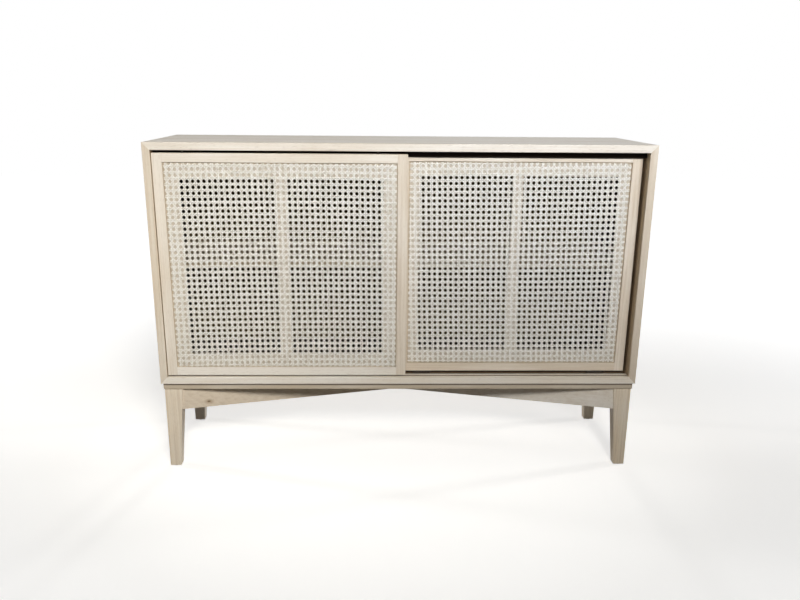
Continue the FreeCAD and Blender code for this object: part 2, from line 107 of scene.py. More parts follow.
def new_surface(name):
    """A material with an empty node tree, and that tree."""
    material = bpy.data.materials.new(name)
    material.use_nodes = True
    material.node_tree.nodes.clear()
    return material, material.node_tree


def stretched_noise(tree, place, length, width, detail=2.0):
    """Noise whose features are so long along the grain and so wide across it."""
    scaled = add(tree, "VectorMath", {0: place, 1: (1 / length, 1 / width, 1 / width)}, operation="MULTIPLY")
    return add(tree, "TexNoise", {"Vector": scaled, "Scale": 1.0, "Detail": detail})


def depths(tree, place, low, high):
    """How far a point lies inside the nearer side of a box, along each axis."""
    from_low = add(tree, "VectorMath", {0: place, 1: low}, operation="SUBTRACT")
    from_high = add(tree, "VectorMath", {0: high, 1: place}, operation="SUBTRACT")
    nearer = add(tree, "VectorMath", {0: from_low, 1: from_high}, operation="MINIMUM")
    return add(tree, "SeparateXYZ", {0: nearer}).node.outputs


def edge_share(tree, place, low, high, reach):
    """1 on the arrises of a box-shaped piece, falling to 0 at a distance from them."""
    away = depths(tree, place, low, high)
    smaller = add(tree, "Math", {0: away[0], 1: away[1]}, operation="MINIMUM")
    larger = add(tree, "Math", {0: away[0], 1: away[1]}, operation="MAXIMUM")
    larger = add(tree, "Math", {0: larger, 1: away[2]}, operation="MINIMUM")
    middle = add(tree, "Math", {0: smaller, 1: larger}, operation="MAXIMUM")
    return add(tree, "MapRange", {0: middle, 1: 0.0, 2: reach, 3: 1.0, 4: 0.0})


def limed_wood(node, grain, number, wash=0.5, body=LIMED_BODY, staves=None, bare=(), covered=None,
               near_front=None, knot=None, shade_top=False):
    """Give a piece limed wood with its grain along an axis; staves is the width of glued strips across Y.

    Surfaces inside the boxes in bare, or outside the box covered, are unlimed brown, near_front at the front
    and painted shade deeper in. A knot is given by its centre, and shade_top paints shade along the upper edge.
    """
    material, tree = new_surface("limed_hardwood_" + node)
    place = add(tree, "TexCoord", out="Object")
    low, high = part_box(node)
    parts = add(tree, "SeparateXYZ", {0: place}).node.outputs
    order = {"X": (0, 1, 2), "Y": (1, 0, 2), "Z": (2, 0, 1)}[grain]
    turned = add(tree, "CombineXYZ", {i: parts[axis] for i, axis in enumerate(order)})
    start = [step * number for step in PIECE_STEP]
    along = add(tree, "VectorMath", {0: turned, 1: start}, operation="ADD")
    tone = 0.0
    if staves:
        strip = add(tree, "Math", {0: parts[1], 1: staves}, operation="DIVIDE")
        strip = add(tree, "Math", {0: strip}, operation="FLOOR")
        strip = add(tree, "Math", {0: strip, 1: number}, operation="ADD")
        draw = add(tree, "TexWhiteNoise", {"W": strip}, noise_dimensions="1D").node.outputs
        moved = {0: draw["Color"], 1: STAVE_STEP, 2: along}
        along = add(tree, "VectorMath", moved, operation="MULTIPLY_ADD")
        tone = add(tree, "MapRange", {0: draw["Value"], 3: -STAVE_TONE, 4: STAVE_TONE})

    wander = stretched_noise(tree, along, RING_WANDER_LENGTH, RING_WANDER_WIDTH)
    wander = add(tree, "MapRange", {0: wander, 3: -RING_WANDER, 4: RING_WANDER})
    turn = PIECE_TURN * number
    pith_reach = PITH_REACH[0] + (number * PITH_STEP % 1) * (PITH_REACH[1] - PITH_REACH[0])
    centre = [(low[axis] + high[axis]) / 2 for axis in order]
    pith = (0, centre[1] + pith_reach * math.cos(turn), centre[2] + pith_reach * math.sin(turn))
    flat = add(tree, "VectorMath", {0: turned, 1: (0, 1, 1)}, operation="MULTIPLY")
    radius = add(tree, "VectorMath", {0: flat, 1: pith}, out="Value", operation="DISTANCE")
    rings = add(tree, "Math", {0: radius, 1: wander}, operation="ADD")
    rings = add(tree, "Math", {0: rings, 1: RING_SPACING}, operation="DIVIDE")
    late = add(tree, "ValToRGB", {0: add(tree, "Math", {0: rings}, operation="FRACT")})
    ramp = late.node.color_ramp
    ramp.interpolation = "B_SPLINE"
    ramp.elements[0].color = (0, 0, 0, 1)
    ramp.elements[1].position = RING_PEAK
    ramp.elements[1].color = (1, 1, 1, 1)
    ramp.elements.new(RING_END).color = (0, 0, 0, 1)

    streak = stretched_noise(tree, along, STREAK_LENGTH, STREAK_WIDTH, 4.0)
    pores = stretched_noise(tree, along, PORE_LENGTH, PORE_WIDTH, 2.0)
    patch = stretched_noise(tree, along, 3 * WASH_PATCH, WASH_PATCH, 3.0)
    pore_share = add(tree, "MapRange", {0: pores, 1: PORE_LEVELS[0], 2: PORE_LEVELS[1]})
    streak_share = add(tree, "MapRange", {0: streak, 1: STREAK_LEVELS[0], 2: STREAK_LEVELS[1]})
    late_share = add(tree, "Math", {0: late, 1: streak_share}, operation="MULTIPLY")
    late_share = add(tree, "Math", {0: late_share, 1: LATE_STRENGTH}, operation="MULTIPLY")
    washes = {0: patch, 1: NOISE_LOW, 2: NOISE_HIGH, 3: wash - WASH_SPREAD, 4: wash + WASH_SPREAD}
    wash_share = add(tree, "MapRange", washes)
    wash_share = add(tree, "Math", {0: wash_share, 1: tone}, operation="ADD")
    washes = {0: streak_share, 1: STREAK_LOSS, 2: wash_share}
    wash_share = add(tree, "Math", washes, operation="MULTIPLY_ADD", use_clamp=True)
    pore_tint = add(tree, "Math", {0: pore_share, 1: PORE_STRENGTH}, operation="MULTIPLY")
    worn = edge_share(tree, place, low, high, EDGE_WEAR)
    worn = add(tree, "Math", {0: worn, 1: streak_share}, operation="MULTIPLY")
    worn = add(tree, "Math", {0: worn, 1: WEAR_STRENGTH}, operation="MULTIPLY")

    colour = linear(body)
    for share, tint in (
        (late_share, LIMED_LATE), (wash_share, LIMED_PALE), (pore_tint, LIMED_PORE), (worn, LIMED_LATE),
    ):
        colour = add(tree, "Mix", {0: share, 6: colour, 7: linear(tint)}, out=2, data_type="RGBA")
    # painted shade: unlimed faces take a brown that turns dark deeper inside the case
    if bare or covered:
        share = bare_share(tree, place, bare, covered)
        shaded_brown = unlimed_shaded_colour(tree, parts[1], near_front or FRONT_BROWN, late_share, streak_share)
        colour = add(tree, "Mix", {0: share, 6: colour, 7: shaded_brown}, out=2, data_type="RGBA")
    if knot:
        colour = knot_colour(tree, place, colour, knot)
    # painted shade along the top of a rail, under the overhang of the case
    if shade_top:
        colour = painted_top_shade(tree, parts[2], colour, high[2])
    dullness = {0: streak, 1: NOISE_LOW, 2: NOISE_HIGH, 3: LIMED_ROUGHNESS[0], 4: LIMED_ROUGHNESS[1]}
    rough = add(tree, "MapRange", dullness)
    height = add(tree, "Math", {0: streak, 1: 0.5}, operation="MULTIPLY")
    height = add(tree, "Math", {0: height, 1: pore_share}, operation="SUBTRACT")
    bump = add(tree, "Bump", {"Strength": 0.6, "Distance": PORE_DEPTH, "Height": height})
    shader = add(tree, "BsdfPrincipled", {"Base Color": colour, "Roughness": rough, "Normal": bump})
    add(tree, "OutputMaterial", {"Surface": shader})
    dress(node, material)


def dress(node, material):
    """Put a material on every slot of a piece that the frame holds."""
    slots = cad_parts[node].data.materials
    slots.clear()
    slots.append(material)


for number, leg, wash in (
    (3, "front_left_leg", 0.35), (4, "front_right_leg", 0.3),
    (5, "rear_left_leg", 0.6), (6, "rear_right_leg", 0.1),
):
    limed_wood(leg, "Z", number, wash=wash, body=LIMED_WARM)

# Foot glides: four moulded discs of dark polyethylene, nailed under the end grain of the legs.
# The plastic is dull, with fine paler scuffs from the floor.
GLIDE_DARK = "2b2724"
GLIDE_SCUFF = "56504a"
GLIDE_ROUGHNESS = 0.5
SCUFF_WIDTH = 0.8 * MM
SCUFF_LENGTH = 9 * MM
SCUFF_DEPTH = 0.05 * MM


def moulded_plastic(name, base, scuffed, roughness):
    """Moulded plastic, dull, with fine scuffs where it has rubbed."""
    material, tree = new_surface(name)
    place = add(tree, "TexCoord", out="Object")
    scuffs = stretched_noise(tree, place, SCUFF_LENGTH, SCUFF_WIDTH, 3.0)
    share = add(tree, "MapRange", {0: scuffs, 1: 0.52, 2: 0.75, 3: 0.0, 4: 0.7})
    colour = add(tree, "Mix", {0: share, 6: linear(base), 7: linear(scuffed)}, out=2, data_type="RGBA")
    dullness = {0: scuffs, 1: NOISE_LOW, 2: NOISE_HIGH, 3: roughness - 0.08, 4: roughness + 0.12}
    rough = add(tree, "MapRange", dullness)
    bump = add(tree, "Bump", {"Strength": 0.3, "Distance": SCUFF_DEPTH, "Height": scuffs})
    shader = add(tree, "BsdfPrincipled", {"Base Color": colour, "Roughness": rough, "Normal": bump})
    add(tree, "OutputMaterial", {"Surface": shader})
    return material


polyethylene = moulded_plastic("moulded_dark_polyethylene", GLIDE_DARK, GLIDE_SCUFF, GLIDE_ROUGHNESS)
dress("foot_glides", polyethylene)

# Base frame: four flat rails of the same limed hardwood lying under the case, screwed up into it.
# Front and rear rails run the whole width, and the side rails butt between them.
# Their wood is a browner cut, and their upper edge under the case is painted darker as shade of the case's
# overhang.
RAIL_BODY = "c6b9a5"
TOP_SHADE_DARK = "46392c"
TOP_SHADE_DEPTH = (3.4 * MM, 5.6 * MM)
TOP_SHADE_STRENGTH = 0.9


def painted_top_shade(tree, height, colour, top):
    """Colour with painted shade over the last few millimetres below the top of a rail, under the overhang of
    the case.
    """
    darkened = {0: height, 1: top - TOP_SHADE_DEPTH[1], 2: top - TOP_SHADE_DEPTH[0], 3: 0.0, 4: TOP_SHADE_STRENGTH}
    share = add(tree, "MapRange", darkened)
    return add(tree, "Mix", {0: share, 6: colour, 7: linear(TOP_SHADE_DARK)}, out=2, data_type="RGBA")


for number, rail, grain in (
    (11, "front_base_rail", "X"), (12, "rear_base_rail", "X"),
    (13, "left_base_rail", "Y"), (14, "right_base_rail", "Y"),
):
    limed_wood(rail, grain, number, wash=0.10, body=RAIL_BODY, shade_top=True)

# Braces: two bars of limed hardwood on edge that cross under the middle in a half lap and end on the legs.
# The left one shows a small tight knot near its front end, and the right one took more lime.
KNOT_PLACE = (-488.8 * MM, -157.1 * MM, 170.2 * MM)
KNOT_SIZE = 5.5 * MM
KNOT_STRETCH = (0.7, 1.0, 1.25)
KNOT_DARK = "6d573f"
KNOT_RIM = "a58d6e"


def knot_colour(tree, place, colour, centre):
    """Colour with a small knot painted round a point: dark heart, browner rim that fades along the grain."""
    offset = add(tree, "VectorMath", {0: place, 1: centre}, operation="SUBTRACT")
    squeezed = add(tree, "VectorMath", {0: offset, 1: KNOT_STRETCH}, operation="MULTIPLY")
    away = add(tree, "VectorMath", {0: squeezed}, out="Value", operation="LENGTH")
    rim = add(tree, "MapRange", {0: away, 1: KNOT_SIZE * 0.5, 2: KNOT_SIZE * 2.0, 3: 0.75, 4: 0.0})
    heart = add(tree, "MapRange", {0: away, 1: KNOT_SIZE * 0.2, 2: KNOT_SIZE * 0.7, 3: 0.95, 4: 0.0})
    colour = add(tree, "Mix", {0: rim, 6: colour, 7: linear(KNOT_RIM)}, out=2, data_type="RGBA")
    return add(tree, "Mix", {0: heart, 6: colour, 7: linear(KNOT_DARK)}, out=2, data_type="RGBA")


limed_wood("left_front_brace", "X", 16, wash=0.10, knot=KNOT_PLACE)
limed_wood("right_front_brace", "X", 17, wash=0.90)

# Dowels: turned beech pegs, glued across the joints of the legs and the braces.
# The wood is raw and warm, with fine darker flecks.
BEECH_PALE = "d8b890"
BEECH_FLECK = "b08a5e"
FLECK_WIDTH = 0.7 * MM
FLECK_LENGTH = 5 * MM


def turned_beech():
    """Plain beech, turned and left raw: warm, with short darker flecks along the grain."""
    material, tree = new_surface("turned_beech")
    place = add(tree, "TexCoord", out="Object")
    flecks = stretched_noise(tree, place, FLECK_LENGTH, FLECK_WIDTH, 2.0)
    share = add(tree, "MapRange", {0: flecks, 1: 0.5, 2: 0.7, 3: 0.0, 4: 0.8})
    tints = {0: share, 6: linear(BEECH_PALE), 7: linear(BEECH_FLECK)}
    colour = add(tree, "Mix", tints, out=2, data_type="RGBA")
    rough = add(tree, "MapRange", {0: flecks, 1: NOISE_LOW, 2: NOISE_HIGH, 3: 0.60, 4: 0.75})
    shader = add(tree, "BsdfPrincipled", {"Base Color": colour, "Roughness": rough})
    add(tree, "OutputMaterial", {"Surface": shader})
    return material


beech = turned_beech()
for dowels in ("leg_dowels", "brace_dowels"):
    dress(dowels, beech)

# Case: four boards glued up from strips of limed hardwood and mitred at the corners.
# Top and bottom run with the grain along the cabinet; the sides stand with the grain upright.
# The faces inside are left unlimed brown, which darkens backwards from the front as painted shade of the closed
# case.
STAVE_WIDTH = 74 * MM
FRONT_BROWN = "d0b998"
BROWN_IN_SHADE = "3f3224"
OILED_SHADE = "705c45"
OILED_LATE = "30261b"
OILED_STREAK = 0.5
SHADE_FROM = -150 * MM
SHADE_FULL = -110 * MM
# Depths from the front of the case: how far the lime wraps round the edges, where the front groove lies,
# painted dark as shade, and where the painted shade of the floor begins. SKIN lifts a box off the face that
# bounds it.
LIME_WRAP = 4 * MM
GROOVE_FRONT = 11.9 * MM
GROOVE_BACK = 18.1 * MM
FLOOR_SHADE_FROM = 30 * MM
GROOVE_DEPTH = 6 * MM
GROOVE_LIP = 0.1 * MM
REAR_EDGE = 1 * MM
SKIN = 0.4 * MM


def inside_share(tree, place, low, high):
    """1 inside a box and 0 outside it."""
    away = depths(tree, place, low, high)
    least = add(tree, "Math", {0: away[0], 1: away[1]}, operation="MINIMUM")
    least = add(tree, "Math", {0: least, 1: away[2]}, operation="MINIMUM")
    return add(tree, "Math", {0: least, 1: 0.0}, operation="GREATER_THAN")


def bare_share(tree, place, boxes, covered):
    """1 where a surface was never limed: inside any of the boxes, and outside the covered one."""
    share = 0.0
    for low, high in boxes:
        share = add(tree, "Math", {0: share, 1: inside_share(tree, place, low, high)}, operation="MAXIMUM")
    if covered:
        outside = add(tree, "Math", {0: 1.0, 1: inside_share(tree, place, *covered)}, operation="SUBTRACT")
        share = add(tree, "Math", {0: share, 1: outside}, operation="MAXIMUM")
    return share


def unlimed_shaded_colour(tree, depth, near_front, late_share, streak_share):
    """Wood without lime: brown, darker in the late wood and along the streaks, and darker deeper in as painted
    shade.
    """
    # painted shade: 0 at SHADE_FROM near the front, 1 at SHADE_FULL deeper in
    fade = add(tree, "MapRange", {0: depth, 1: SHADE_FROM, 2: SHADE_FULL})
    colour = add(tree, "Mix", {0: fade, 6: linear(near_front), 7: linear(BROWN_IN_SHADE)}, out=2, data_type="RGBA")
    dark = add(tree, "Math", {0: late_share, 1: streak_share}, operation="MAXIMUM")
    dark = add(tree, "Math", {0: dark, 1: OILED_STREAK}, operation="MULTIPLY")
    return add(tree, "Mix", {0: dark, 6: colour, 7: linear(OILED_LATE)}, out=2, data_type="RGBA")


front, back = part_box("left_side")[0].y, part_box("left_side")[1].y
inner_left, inner_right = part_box("left_side")[1].x - SKIN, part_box("right_side")[0].x + SKIN
inner_floor, inner_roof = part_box("bottom_panel")[1].z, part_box("top_panel")[0].z
rear_corner = (inner_right, back - REAR_EDGE, inner_roof + SKIN)
inside = ((inner_left, front + LIME_WRAP, inner_floor - SKIN), rear_corner)
# painted shade: the floor behind the doors and the front groove take the dark unlimed brown
floor_shade = ((inner_left, front + FLOOR_SHADE_FROM, inner_floor - GROOVE_DEPTH), rear_corner)
groove_shade = ((inner_left, front + GROOVE_FRONT, inner_floor - GROOVE_DEPTH),
                (inner_right, front + GROOVE_BACK, inner_floor - GROOVE_LIP))
limed_wood("top_panel", "X", 21, wash=1.0, staves=STAVE_WIDTH, bare=(inside,))
limed_wood("bottom_panel", "X", 22, wash=0.9, body=LIMED_WARM, staves=STAVE_WIDTH,
           bare=(groove_shade, floor_shade), near_front=OILED_SHADE)
limed_wood("left_side", "Z", 23, wash=0.25, staves=STAVE_WIDTH, bare=(inside,))
limed_wood("right_side", "Z", 24, wash=0.15, staves=STAVE_WIDTH, bare=(inside,))

# Inside: an upright divider housed in top and bottom, and two loose shelves, of the same boards.
# The shelves are thinly limed on top and in front in a darker tone, painted shade of the closed case, and brown
# below as painted shade; of the divider only the front edge is limed, the rest takes the brown with painted
# shade.
SHELF_SHADED_BODY = "c6b49c"
LIMED_EDGE = 0.5 * MM
SHELF_EDGE = 1 * MM
low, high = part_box("centre_divider")
behind = ((low.x - SKIN, low.y + LIMED_EDGE, low.z - SKIN), (high.x + SKIN, high.y + SKIN, high.z + SKIN))
limed_wood("centre_divider", "Z", 25, wash=0.40, staves=STAVE_WIDTH, bare=(behind,))
for number, shelf in ((26, "left_shelf"), (27, "right_shelf")):
    low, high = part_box(shelf)
    # painted shade: the underside of each shelf takes the shaded brown
    below = ((low.x - SKIN, low.y + SHELF_EDGE, low.z - SKIN),
             (high.x + SKIN, high.y + SKIN, high.z - SHELF_EDGE))
    limed_wood(shelf, "X", number, wash=0.1, body=SHELF_SHADED_BODY, staves=STAVE_WIDTH,
               bare=(below,), near_front=OILED_SHADE)

# Shelf pins: eight turned steel pegs, nickel plated, pushed into holes of the sides and the divider.
# The tool left fine turning marks on them.
NICKEL = "b9b4a8"
NICKEL_SHADE = "9d988d"
TURNING_PITCH = 0.6 * MM
WAVES_PER_UNIT = 20


def nickel_plate():
    """Nickel plate over turned steel: warm grey metal with soft rings left by the lathe."""
    material, tree = new_surface("nickel_plated_steel")
    place = add(tree, "TexCoord", out="Object")
    waves = {"Vector": place, "Scale": 1 / TURNING_PITCH / WAVES_PER_UNIT, "Distortion": 0.4}
    marks = add(tree, "TexWave", waves, out="Fac")
    colour = add(tree, "Mix", {0: marks, 6: linear(NICKEL), 7: linear(NICKEL_SHADE)}, out=2, data_type="RGBA")
    rough = add(tree, "MapRange", {0: marks, 3: 0.26, 4: 0.38})
    shader = add(tree, "BsdfPrincipled", {"Base Color": colour, "Roughness": rough, "Metallic": 1.0})
    add(tree, "OutputMaterial", {"Surface": shader})
    return material


dress("shelf_pins", nickel_plate())

# Back panel: thin plywood with rotary-cut face veneers, lying in the rebate round the back of the case.
# Its rear face is raw; the face inside is a deep brown, painted shade of the closed case like the rest of the
# inside.
PLY_PALE = "c2ac88"
PLY_DARK = "a3885f"
PLY_INSIDE_SHADE = "6a5b42"
PLY_INSIDE_SHADE_DARK = "564930"
PLY_FIGURE_WIDTH = 136 * MM
PLY_FIGURE_LENGTH = 420 * MM
PLY_FIBRE_WIDTH = 1.2 * MM
PLY_FIBRE_LENGTH = 40 * MM
PLY_CONTOURS = 9.0
PLY_FIBRE_DEPTH = 0.1 * MM
PLY_SHADE_TO = 184 * MM


def rotary_plywood():
    """Plywood: rotary-cut veneer, so the growth rings spread into broad wavering contours."""
    material, tree = new_surface("rotary_cut_plywood")
    place = add(tree, "TexCoord", out="Object")
    swell = stretched_noise(tree, place, PLY_FIGURE_LENGTH, PLY_FIGURE_WIDTH, 2.0)
    contour = add(tree, "Math", {0: swell, 1: PLY_CONTOURS}, operation="MULTIPLY")
    contour = add(tree, "Math", {0: contour, 1: 0.5}, operation="PINGPONG")
    fibre = stretched_noise(tree, place, PLY_FIBRE_LENGTH, PLY_FIBRE_WIDTH, 3.0)
    share = add(tree, "Math", {0: contour, 1: fibre, 2: contour}, operation="MULTIPLY_ADD")
    fibre_share = add(tree, "MapRange", {0: fibre, 1: 0.55, 2: 0.75, 3: 0.0, 4: 0.4})
    share = add(tree, "Math", {0: share, 1: fibre_share}, operation="ADD", use_clamp=True)
    raw, shaded_brown = (
        add(tree, "Mix", {0: share, 6: linear(pale), 7: linear(dark)}, out=2, data_type="RGBA")
        for pale, dark in ((PLY_PALE, PLY_DARK), (PLY_INSIDE_SHADE, PLY_INSIDE_SHADE_DARK))
    )
    # painted shade: the face inside the case takes the dark browns
    depth = add(tree, "SeparateXYZ", {0: place}, out=1)
    outside = add(tree, "Math", {0: depth, 1: PLY_SHADE_TO}, operation="GREATER_THAN")
    colour = add(tree, "Mix", {0: outside, 6: shaded_brown, 7: raw}, out=2, data_type="RGBA")
    rough = add(tree, "MapRange", {0: fibre, 1: NOISE_LOW, 2: NOISE_HIGH, 3: 0.62, 4: 0.78})
    bump = add(tree, "Bump", {"Strength": 0.4, "Distance": PLY_FIBRE_DEPTH, "Height": fibre})
    shader = add(tree, "BsdfPrincipled", {"Base Color": colour, "Roughness": rough, "Normal": bump})
    add(tree, "OutputMaterial", {"Surface": shader})
    return material


dress("back_panel", rotary_plywood())

# Back screws: small pan-head screws with a cross recess, of zinc-plated steel.
# They go through the panel into the rebate of the case and the divider, each turned as it came to rest.
SCREW_RADIUS = 3.4 * MM
SCREW_HEIGHT = 1.2 * MM
CROSS_ARM = 1.9 * MM
CROSS_HALF = 0.42 * MM
CROSS_DEPTH = 0.8 * MM
SCREW_SIDES = 24
SCREW_INSET = 4.3 * MM
SCREWS_IN_ROW = 7
ROW_REACH = 560 * MM
SIDE_HEIGHTS = (380 * MM, 521 * MM, 662 * MM)
DIVIDER_HEIGHTS = (400 * MM, 642 * MM)
HEAD_STEPS = ((1.0, 0.35), (0.94, 0.66), (0.80, 0.90), (0.62, 1.0))
SCREW_SEED = 5
CLOUD_LENGTH = 1.5 * MM
CLOUD_WIDTH = 1.0 * MM
ZINC = "c9c9c6"
ZINC_CLOUD = "9c9c98"
panel_low, panel_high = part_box("back_panel")


def pan_head(x, z, turn):
    """Corners and faces of one screw head that faces the back, with its cross turned by an angle."""
    corners, faces = [], []

    def ring(points, depth):
        corners.extend((x + px, panel_high.y + depth, z + pz) for px, pz in points)
        return list(range(len(corners) - len(points), len(corners)))

    def band(first, second):
        after = [(i + 1) % len(first) for i in range(len(first))]
        faces.extend((first[i], first[k], second[k], second[i]) for i, k in enumerate(after))

    def circle(radius):
        angles = [2 * math.pi * i / SCREW_SIDES for i in range(SCREW_SIDES)]
        return [(radius * math.cos(a), radius * math.sin(a)) for a in angles]

    arm, half_arm = CROSS_ARM, CROSS_HALF
    quarter = ((half_arm, half_arm), (half_arm, arm), (-half_arm, arm))
    cross = []
    for k in range(4):
        angle = turn + k * math.pi / 2
        cross += [(px * math.cos(angle) - pz * math.sin(angle), px * math.sin(angle) + pz * math.cos(angle))
                  for px, pz in quarter]
    rings = [ring(circle(SCREW_RADIUS), 0.0)]
    for share, height in HEAD_STEPS:
        rings.append(ring(circle(SCREW_RADIUS * share), SCREW_HEIGHT * height))
        band(rings[-1], rings[-2])
    rim = ring(cross, SCREW_HEIGHT)
    floor = ring(cross, SCREW_HEIGHT - CROSS_DEPTH)
    flat = [[Vector((corners[i][0], corners[i][2], 0)) for i in loop] for loop in (rings[-1], rim)]
    joined = rings[-1] + rim
    faces.extend(tuple(joined[i] for i in triangle) for triangle in tessellate_polygon(flat))
    band(floor, rim)
    faces.append(tuple(floor))
    return corners, faces


def zinc_plate():
    """Bright zinc on steel: cool grey metal, a little clouded, slightly rough from the bath."""
    material, tree = new_surface("zinc_plated_steel")
    place = add(tree, "TexCoord", out="Object")
    cloud = stretched_noise(tree, place, CLOUD_LENGTH, CLOUD_WIDTH, 3.0)
    colour = add(tree, "Mix", {0: cloud, 6: linear(ZINC), 7: linear(ZINC_CLOUD)}, out=2, data_type="RGBA")
    rough = add(tree, "MapRange", {0: cloud, 1: NOISE_LOW, 2: NOISE_HIGH, 3: 0.28, 4: 0.45})
    shader = add(tree, "BsdfPrincipled", {"Base Color": colour, "Roughness": rough, "Metallic": 1.0})
    add(tree, "OutputMaterial", {"Surface": shader})
    return material


screw_corners, screw_faces = [], []
screw_draw = np.random.default_rng(SCREW_SEED)
level_rows = (panel_low.z + SCREW_INSET, panel_high.z - SCREW_INSET)
side_columns = (panel_low.x + SCREW_INSET, panel_high.x - SCREW_INSET)
screw_places = [(x, z) for z in level_rows for x in np.linspace(-ROW_REACH, ROW_REACH, SCREWS_IN_ROW)]
screw_places += [(x, z) for x in side_columns for z in SIDE_HEIGHTS]
screw_places += [(0.0, z) for z in DIVIDER_HEIGHTS]
for x, z in screw_places:
    corners, faces = pan_head(x, z, screw_draw.uniform(0, math.pi))
    screw_faces += [tuple(i + len(screw_corners) for i in face) for face in faces]
    screw_corners += corners
screw_mesh = bpy.data.meshes.new("back_screws")
screw_mesh.from_pydata(screw_corners, [], screw_faces)
screw_mesh.materials.append(zinc_plate())
screws = bpy.data.objects.new("back_screws", screw_mesh)
bpy.context.scene.collection.objects.link(screws)
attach(screws, "case")

# Parting strip: extruded strip of dark brown plastic, pressed up into a groove of the top board.
# It keeps the doors apart and shows as a dark band over the rear door.
STRIP_DARK = "0e0804"
STRIP_LIGHT = "21170d"
DRAW_LINE_LENGTH = 400 * MM
DRAW_LINE_WIDTH = 1.6 * MM
DRAW_LINE_DEPTH = 0.08 * MM


def extruded_plastic():
    """Dark extruded plastic: nearly black and matt, with faint lines drawn along it by the die."""
    material, tree = new_surface("extruded_dark_plastic")
    place = add(tree, "TexCoord", out="Object")
    lines = stretched_noise(tree, place, DRAW_LINE_LENGTH, DRAW_LINE_WIDTH, 3.0)
    share = add(tree, "MapRange", {0: lines, 1: 0.4, 2: 0.75, 3: 0.0, 4: 0.8})
    tints = {0: share, 6: linear(STRIP_DARK), 7: linear(STRIP_LIGHT)}
    colour = add(tree, "Mix", tints, out=2, data_type="RGBA")
    rough = add(tree, "MapRange", {0: lines, 1: NOISE_LOW, 2: NOISE_HIGH, 3: 0.60, 4: 0.75})
    bump = add(tree, "Bump", {"Strength": 0.4, "Distance": DRAW_LINE_DEPTH, "Height": lines})
    surface = {"Base Color": colour, "Roughness": rough, "Normal": bump, "Specular IOR Level": 0.06}
    add(tree, "OutputMaterial", {"Surface": add(tree, "BsdfPrincipled", surface)})
    return material


dress("parting_strip", extruded_plastic())

# Door frames: limed hardwood stiles and rails, tenoned and glued, with softened front edges.
# The stile of the right door that the left door covers is given less lime, a painted shade of the left door in
# front of it.
for first, side, washes in (
    (31, "left_door_", (0.6, 0.35, 1.2, 0.8)),
    (51, "right_door_", (0.05, 0.35, 0.1, 0.5)),
):
    for number, (part, grain) in enumerate((
        ("left_stile", "Z"), ("right_stile", "Z"), ("bottom_rail", "X"), ("top_rail", "X"),
    )):
        limed_wood(side + part, grain, first + number, wash=washes[number])

# Door panels: in each door a second, thinner frame with a mullion, of the same wood, which the cane covers.
# The wood under the cane is thinly limed and given a greyer, darker tone, painted shade of the cane lying on
# it.
# The narrow rim round the cane is brown, a painted shade of the gap between the panel and the door frame.
PANEL_BODY_IN_SHADE = "c6bcad"
for first, side in ((35, "left_door_"), (55, "right_door_")):
    cane_low, cane_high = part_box(side + "cane")
    under_cane = ((cane_low.x, front, cane_low.z), (cane_high.x, back, cane_high.z))
    for number, (part, grain) in enumerate((
        ("panel_left_stile", "Z"), ("panel_right_stile", "Z"),
        ("panel_bottom_rail", "X"), ("panel_top_rail", "X"), ("panel_mullion", "Z"),
    )):
        limed_wood(side + part, grain, first + number, wash=0.10, body=PANEL_BODY_IN_SHADE, covered=under_cane)

# Cane: open six-way weave of split rattan skin, pressed and stapled over the inner frame of each door.
# Upright and level strands lie in pairs that cross over and under, and two sets of slanting strands run
# between the holes, one over the uprights and the other over the levels, so every hole is eight-sided.
STRAND_WIDTH = 2.32 * MM
PAIR_SPACING = 3.05 * MM
SLANT_WIDTH = 2.08 * MM
SLANT_EDGE = 0.4
STRAND_HEIGHT = 0.52 * MM
PAIR_RISE = 0.34 * MM
SLANT_RISE = 0.60 * MM
STRAND_WOBBLE = 0.10 * MM
CANE_PALE = "fffdf8"
CANE_DULL = "dcd5c6"
CANE_NODE = "ab9f8a"
CANE_ROUGHNESS = (0.42, 0.60)
FIBRE_WIDTH = 0.45 * MM
FIBRE_LENGTH = 30 * MM
FIBRE_DEPTH = 0.05 * MM
BLOTCH_WIDTH = 2.2 * MM
BLOTCH_LENGTH = 7 * MM
CANE_NODE_SPACING = 310 * MM
CANE_NODE_LENGTH = 4 * MM
END_REACH = 1.0 * MM
CUT_LENGTH = 3.0
PATTERN_STEP = 7.0
WIDTH_SPREAD = (0.95, 1.03)
# Along a strand, in cells from hole to hole: where it rises and sinks, how finely its ends are found, how short
# it may be, how near to an end it may still bend, and how far beyond the first hole the grid is drawn.
PAIR_KNOTS = (0.16, 0.38, 0.62, 0.84)
SLANT_KNOTS = (0.17, 0.33, 0.67, 0.83)
FINE_STEP = 0.02
SHORTEST = 0.5
END_CLEAR = 0.05
OVERHANG = 4
SLANT_OVERHANG = 6
# Section of a strand in half widths and heights: domed skin in front, rougher core behind.
PROFILE = ((-1.0, -0.05), (-0.6, 0.42), (0.6, 0.42), (1.0, -0.05), (0.0, -0.5))


